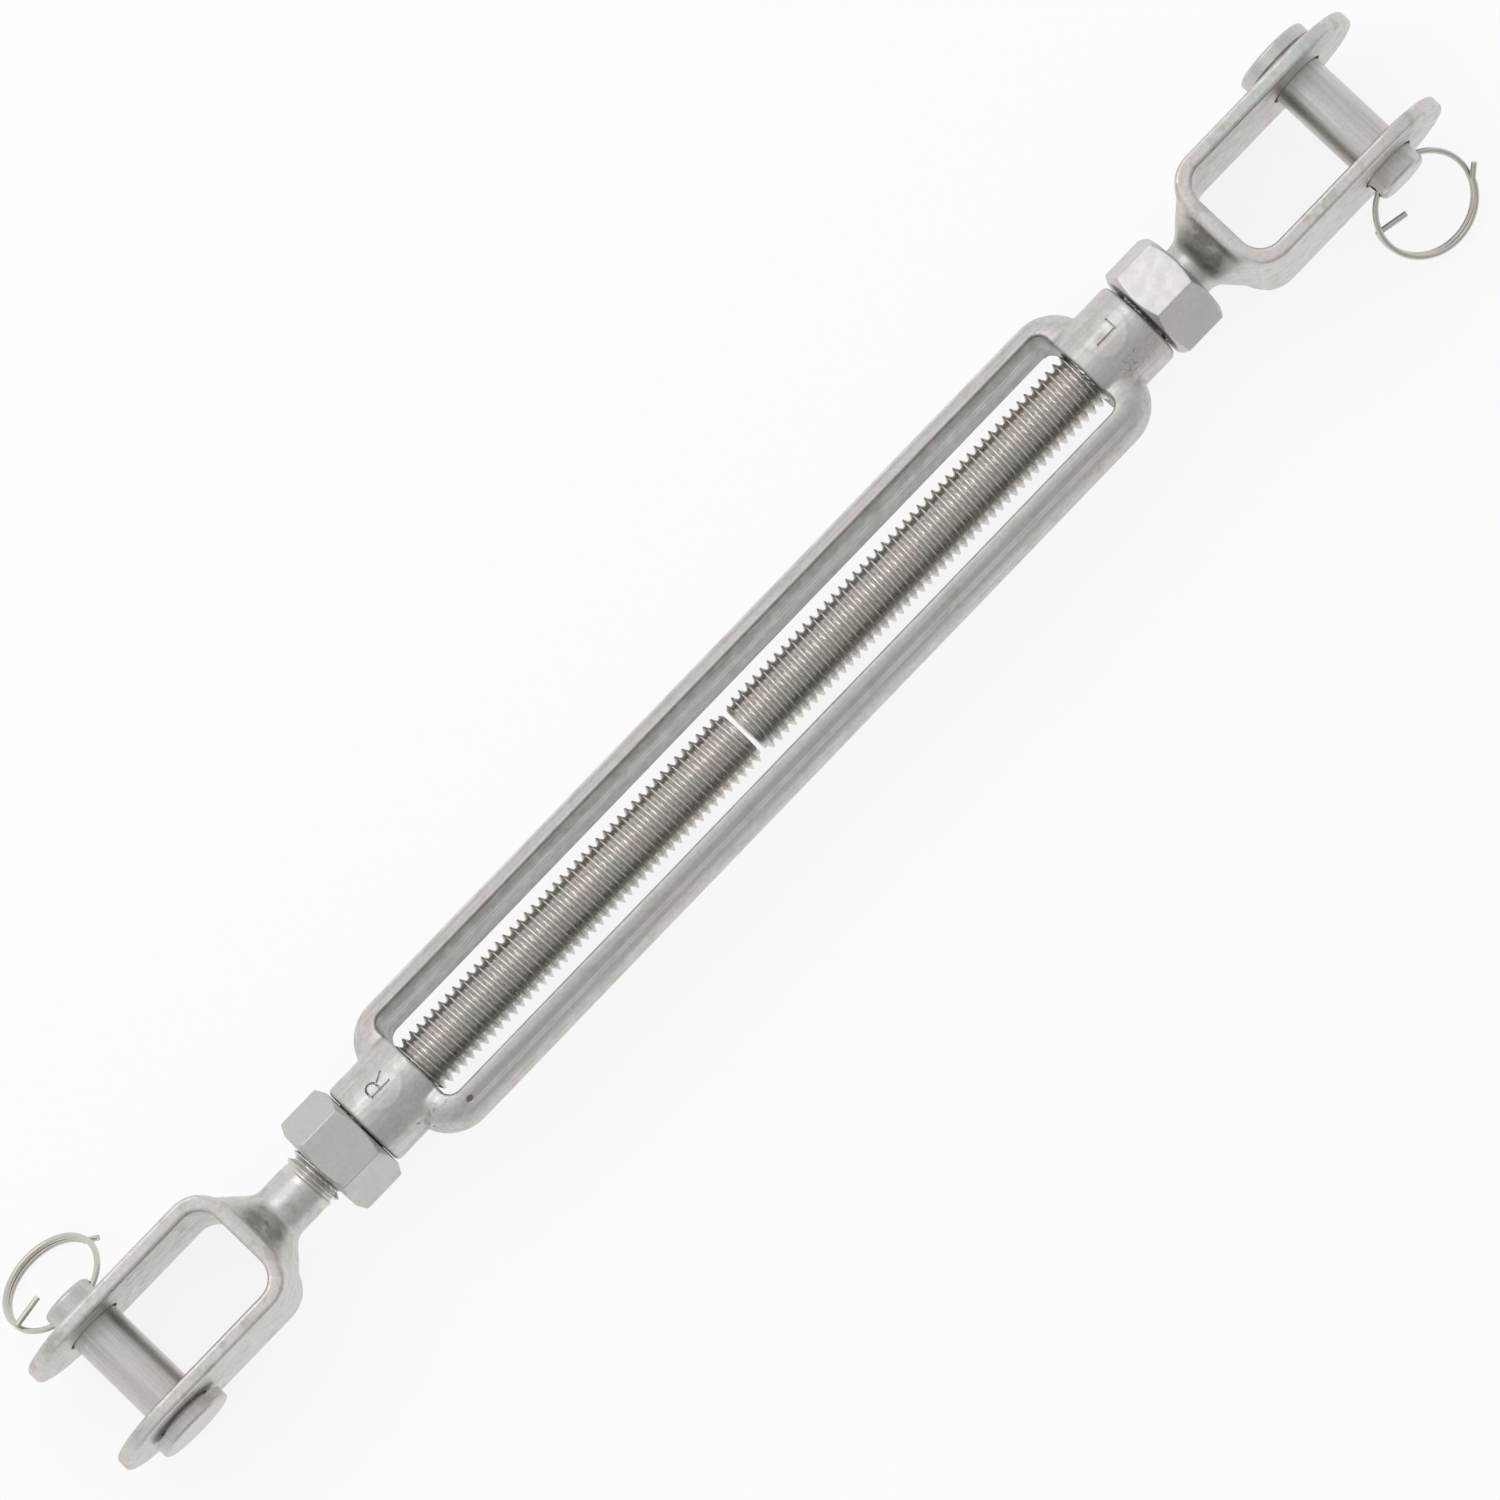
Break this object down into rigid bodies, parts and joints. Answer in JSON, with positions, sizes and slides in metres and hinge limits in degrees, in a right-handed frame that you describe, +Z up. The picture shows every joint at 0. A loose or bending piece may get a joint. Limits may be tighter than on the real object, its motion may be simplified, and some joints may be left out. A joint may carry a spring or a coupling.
{
  "type": "rigging turnbuckle",
  "caption": "Open-frame rigging turnbuckle with right- and left-hand jaw screws, hexagon lock nuts, clevis pins and split rings.",
  "frame": {"origin": "on the thread axis, midway between the two clevis pins' centres", "axes": "+X along the thread axis towards the left-hand screw; +Y along the clevis pins; +Z up when both forks lie on their edges"},
  "size_m": [0.2296, 0.0408, 0.0192],
  "materials": {
    "forged_frame": "satin tumbled forging, faint parting line, small pits",
    "forged_jaw": "satin forging, machined thread, brown scale at the web",
    "nut": "matte machined flats",
    "pin": "turned and polished",
    "spring_wire": "drawn bright wire"
  },
  "bodies": {
    "frame": {"turnbuckle_frame": "forged_frame"},
    "nut_rh": {"lock_nut_rh": "nut"},
    "nut_lh": {"lock_nut_lh": "nut"},
    "jaw_rh": {"jaw_screw_rh": "forged_jaw"},
    "jaw_lh": {"jaw_screw_lh": "forged_jaw"},
    "pin_rh": {"clevis_pin_rh": "pin"},
    "pin_lh": {"clevis_pin_lh": "pin"},
    "ring_rh": {"split_ring_rh": "spring_wire"},
    "ring_lh": {"split_ring_lh": "spring_wire"}
  },
  "joints": [
    {"name": "rh_turn", "type": "hinge", "parent": "frame", "child": "nut_rh", "pos_m": [-0.0643, 0, 0], "axis": [-1, 0, 0], "range_deg": [0, 16200]},
    {"name": "rh_travel", "type": "slide", "parent": "nut_rh", "child": "jaw_rh", "axis": [-1, 0, 0], "range_m": [0, 0.05625]},
    {"name": "rh_pin_spin", "type": "hinge", "parent": "jaw_rh", "child": "pin_rh", "pos_m": [-0.1052, 0, 0], "axis": [0, 1, 0], "continuous": true},
    {"name": "rh_ring_swing", "type": "hinge", "parent": "pin_rh", "child": "ring_rh", "pos_m": [-0.1052, 0.01015, 0], "axis": [1, 0, 0], "range_deg": [-41, 127]},
    {"name": "lh_turn", "type": "hinge", "parent": "frame", "child": "nut_lh", "pos_m": [0.0697, 0, 0], "axis": [-1, 0, 0], "range_deg": [0, 16920]},
    {"name": "lh_travel", "type": "slide", "parent": "nut_lh", "child": "jaw_lh", "axis": [1, 0, 0], "range_m": [0, 0.05875]},
    {"name": "lh_pin_spin", "type": "hinge", "parent": "jaw_lh", "child": "pin_lh", "pos_m": [0.1052, 0, 0], "axis": [0, 1, 0], "continuous": true},
    {"name": "lh_ring_swing", "type": "hinge", "parent": "pin_lh", "child": "ring_lh", "pos_m": [0.1052, -0.00975, 0], "axis": [-1, 0, 0], "range_deg": [-46, 122]}
  ],
  "couplings": [
    {"joint": "rh_turn", "follows": "rh_travel", "rad_per_m": 5026.5},
    {"joint": "lh_turn", "follows": "lh_travel", "rad_per_m": 5026.5}
  ]
}
